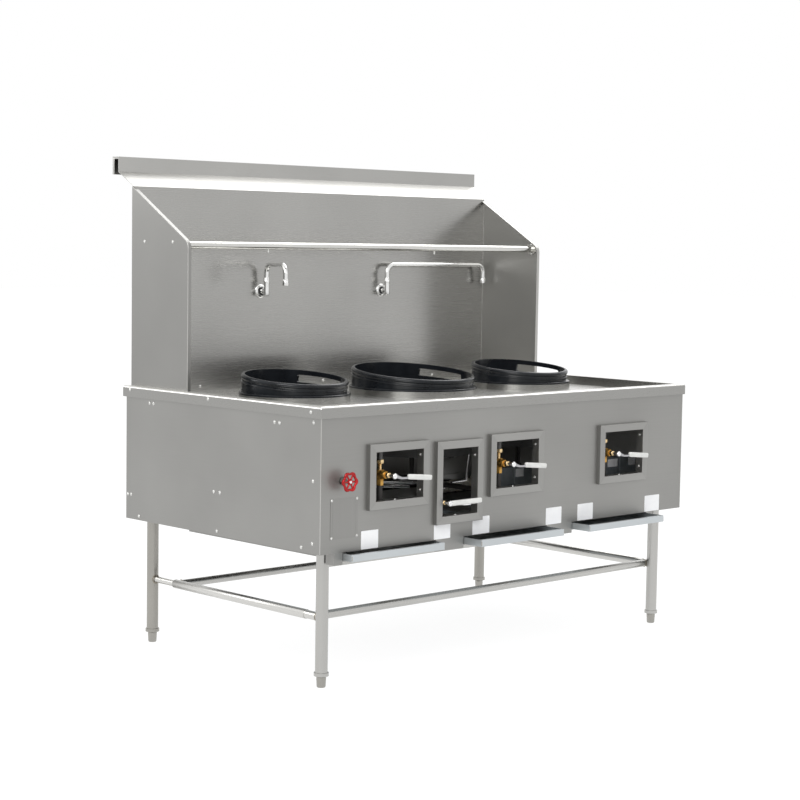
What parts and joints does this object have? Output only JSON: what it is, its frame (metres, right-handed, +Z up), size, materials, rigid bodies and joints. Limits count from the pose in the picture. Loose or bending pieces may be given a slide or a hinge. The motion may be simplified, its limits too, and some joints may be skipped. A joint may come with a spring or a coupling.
{
  "type": "wok range",
  "caption": "Free-standing gas wok range with sunken deck, cast wok rings, tall splash back, pot rail, swing faucets, framed valve windows, drip trays and tubular legs",
  "frame": {"origin": "centre of the footprint's bounding box, on the floor", "axes": "+X along the front to the right, +Y from front to back, +Z up"},
  "size_m": [1.83, 1.232, 1.716],
  "materials": {
    "deck_pan": "satin stainless steel with fine grain",
    "front_panel": "satin stainless steel with fine grain",
    "left_side_panel": "satin stainless steel with fine grain",
    "right_side_panel": "satin stainless steel with fine grain",
    "rear_panel": "satin stainless steel with fine grain",
    "base_frame": "satin stainless steel with fine grain",
    "splash_panel": "satin stainless steel with fine grain",
    "left_cheek": "satin stainless steel with fine grain",
    "right_cheek": "satin stainless steel with fine grain",
    "top_channel": "satin stainless steel with fine grain",
    "pot_rail": "satin stainless steel with fine grain",
    "window_frame_1": "satin stainless steel with fine grain",
    "window_frame_2": "satin stainless steel with fine grain",
    "window_frame_3": "satin stainless steel with fine grain",
    "window_frame_4": "satin stainless steel with fine grain",
    "leg_front_left": "satin stainless steel with fine grain",
    "leg_front_right": "satin stainless steel with fine grain",
    "leg_rear_left": "satin stainless steel with fine grain",
    "leg_rear_right": "satin stainless steel with fine grain",
    "left_stretcher": "satin stainless steel with fine grain",
    "right_stretcher": "satin stainless steel with fine grain",
    "front_stretcher": "satin stainless steel with fine grain",
    "rear_stretcher": "satin stainless steel with fine grain",
    "tray_hanger_1": "satin stainless steel with fine grain",
    "tray_hanger_2": "satin stainless steel with fine grain",
    "tray_hanger_3": "satin stainless steel with fine grain",
    "tray_hanger_4": "satin stainless steel with fine grain",
    "drip_tray_1": "galvanised sheet, dull bluish grey",
    "drip_tray_2": "galvanised sheet, dull bluish grey",
    "drip_tray_3": "galvanised sheet, dull bluish grey",
    "burner_bowl_left": "grey sheet shell with a refractory lining",
    "burner_bowl_middle": "grey sheet shell with a refractory lining",
    "burner_bowl_right": "grey sheet shell with a refractory lining",
    "burner_left": "dark cast iron",
    "burner_middle": "dark cast iron",
    "burner_right": "dark cast iron",
    "wok_ring_left": "near-black cast iron with a grey sheen",
    "wok_ring_middle": "near-black cast iron with a grey sheen",
    "wok_ring_right": "near-black cast iron with a grey sheen",
    "gas_manifold": "dark grey steel pipe",
    "gas_valve_1": "machined brass",
    "gas_valve_2": "machined brass",
    "gas_valve_3": "machined brass",
    "pilot_valve": "machined brass",
    "faucet_short": "polished chrome",
    "faucet_long": "polished chrome",
    "spout_short": "polished chrome",
    "spout_long": "polished chrome",
    "water_tap": "cast brass",
    "water_pipe": "drawn pipe",
    "gas_lever_1": "pale grey cast lever",
    "gas_lever_2": "pale grey cast lever",
    "gas_lever_3": "pale grey cast lever",
    "pilot_lever": "pale grey cast lever",
    "hand_wheel": "red enamel",
    "foot_front_left": "turned steel",
    "foot_front_right": "turned steel",
    "foot_rear_left": "turned steel",
    "foot_rear_right": "turned steel"
  },
  "bodies": {
    "range_body": {"deck_pan": "deck_pan", "front_panel": "front_panel", "left_side_panel": "left_side_panel", "right_side_panel": "right_side_panel", "rear_panel": "rear_panel", "base_frame": "base_frame", "splash_panel": "splash_panel", "left_cheek": "left_cheek", "right_cheek": "right_cheek", "top_channel": "top_channel", "pot_rail": "pot_rail", "window_frame_1": "window_frame_1", "window_frame_2": "window_frame_2", "window_frame_3": "window_frame_3", "window_frame_4": "window_frame_4", "leg_front_left": "leg_front_left", "leg_front_right": "leg_front_right", "leg_rear_left": "leg_rear_left", "leg_rear_right": "leg_rear_right", "left_stretcher": "left_stretcher", "right_stretcher": "right_stretcher", "front_stretcher": "front_stretcher", "rear_stretcher": "rear_stretcher", "tray_hanger_1": "tray_hanger_1", "tray_hanger_2": "tray_hanger_2", "tray_hanger_3": "tray_hanger_3", "tray_hanger_4": "tray_hanger_4", "burner_bowl_left": "burner_bowl_left", "burner_bowl_middle": "burner_bowl_middle", "burner_bowl_right": "burner_bowl_right", "burner_left": "burner_left", "burner_middle": "burner_middle", "burner_right": "burner_right", "gas_manifold": "gas_manifold", "gas_valve_1": "gas_valve_1", "gas_valve_2": "gas_valve_2", "gas_valve_3": "gas_valve_3", "pilot_valve": "pilot_valve", "faucet_short": "faucet_short", "faucet_long": "faucet_long", "water_tap": "water_tap", "water_pipe": "water_pipe"},
    "ring_left": {"wok_ring_left": "wok_ring_left"},
    "ring_middle": {"wok_ring_middle": "wok_ring_middle"},
    "ring_right": {"wok_ring_right": "wok_ring_right"},
    "swing_spout_short": {"spout_short": "spout_short"},
    "swing_spout_long": {"spout_long": "spout_long"},
    "tray_1": {"drip_tray_1": "drip_tray_1"},
    "tray_2": {"drip_tray_2": "drip_tray_2"},
    "tray_3": {"drip_tray_3": "drip_tray_3"},
    "lever_1": {"gas_lever_1": "gas_lever_1"},
    "lever_2": {"gas_lever_2": "gas_lever_2"},
    "lever_3": {"gas_lever_3": "gas_lever_3"},
    "lever_4": {"pilot_lever": "pilot_lever"},
    "wheel": {"hand_wheel": "hand_wheel"},
    "foot_front_left_screw": {"foot_front_left": "foot_front_left"},
    "foot_front_right_screw": {"foot_front_right": "foot_front_right"},
    "foot_rear_left_screw": {"foot_rear_left": "foot_rear_left"},
    "foot_rear_right_screw": {"foot_rear_right": "foot_rear_right"}
  },
  "joints": [
    {"name": "ring_lift_left", "type": "slide", "parent": "range_body", "child": "ring_left", "axis": [0, 0, 1], "range_m": [0, 0.12]},
    {"name": "ring_lift_middle", "type": "slide", "parent": "range_body", "child": "ring_middle", "axis": [0, 0, 1], "range_m": [0, 0.12]},
    {"name": "ring_lift_right", "type": "slide", "parent": "range_body", "child": "ring_right", "axis": [0, 0, 1], "range_m": [0, 0.12]},
    {"name": "spout_swivel_short", "type": "hinge", "parent": "range_body", "child": "swing_spout_short", "pos_m": [-0.308, 0.471, 1.272], "axis": [0, 0, 1], "range_deg": [-73, 107]},
    {"name": "spout_swivel_long", "type": "hinge", "parent": "range_body", "child": "swing_spout_long", "pos_m": [0.304, 0.471, 1.272], "axis": [0, 0, 1], "range_deg": [-180, 0]},
    {"name": "tray_slide_1", "type": "slide", "parent": "range_body", "child": "tray_1", "axis": [0, -1, 0], "range_m": [-0.04, 0.35]},
    {"name": "tray_slide_2", "type": "slide", "parent": "range_body", "child": "tray_2", "axis": [0, -1, 0], "range_m": [-0.08, 0.35]},
    {"name": "tray_slide_3", "type": "slide", "parent": "range_body", "child": "tray_3", "axis": [0, -1, 0], "range_m": [-0.08, 0.35]},
    {"name": "lever_turn_1", "type": "hinge", "parent": "range_body", "child": "lever_1", "pos_m": [-0.624, -0.571, 0.679], "axis": [0, 1, 0], "range_deg": [-5.5, 84.5]},
    {"name": "lever_turn_2", "type": "hinge", "parent": "range_body", "child": "lever_2", "pos_m": [-0.065, -0.571, 0.679], "axis": [0, 1, 0], "range_deg": [-5.5, 84.5]},
    {"name": "lever_turn_3", "type": "hinge", "parent": "range_body", "child": "lever_3", "pos_m": [0.491, -0.571, 0.679], "axis": [0, 1, 0], "range_deg": [-5.5, 84.5]},
    {"name": "lever_turn_4", "type": "hinge", "parent": "range_body", "child": "lever_4", "pos_m": [-0.368, -0.571, 0.569], "axis": [0, 1, 0], "range_deg": [0, 90]},
    {"name": "wheel_turn", "type": "hinge", "parent": "range_body", "child": "wheel", "pos_m": [-0.814, -0.566, 0.674], "axis": [0, 1, 0], "range_deg": [0, 1080]},
    {"name": "foot_adjust_front_left", "type": "slide", "parent": "range_body", "child": "foot_front_left_screw", "axis": [0, 0, -1], "range_m": [0, 0.025]},
    {"name": "foot_adjust_front_right", "type": "slide", "parent": "range_body", "child": "foot_front_right_screw", "axis": [0, 0, -1], "range_m": [0, 0.025]},
    {"name": "foot_adjust_rear_left", "type": "slide", "parent": "range_body", "child": "foot_rear_left_screw", "axis": [0, 0, -1], "range_m": [0, 0.025]},
    {"name": "foot_adjust_rear_right", "type": "slide", "parent": "range_body", "child": "foot_rear_right_screw", "axis": [0, 0, -1], "range_m": [0, 0.025]}
  ]
}
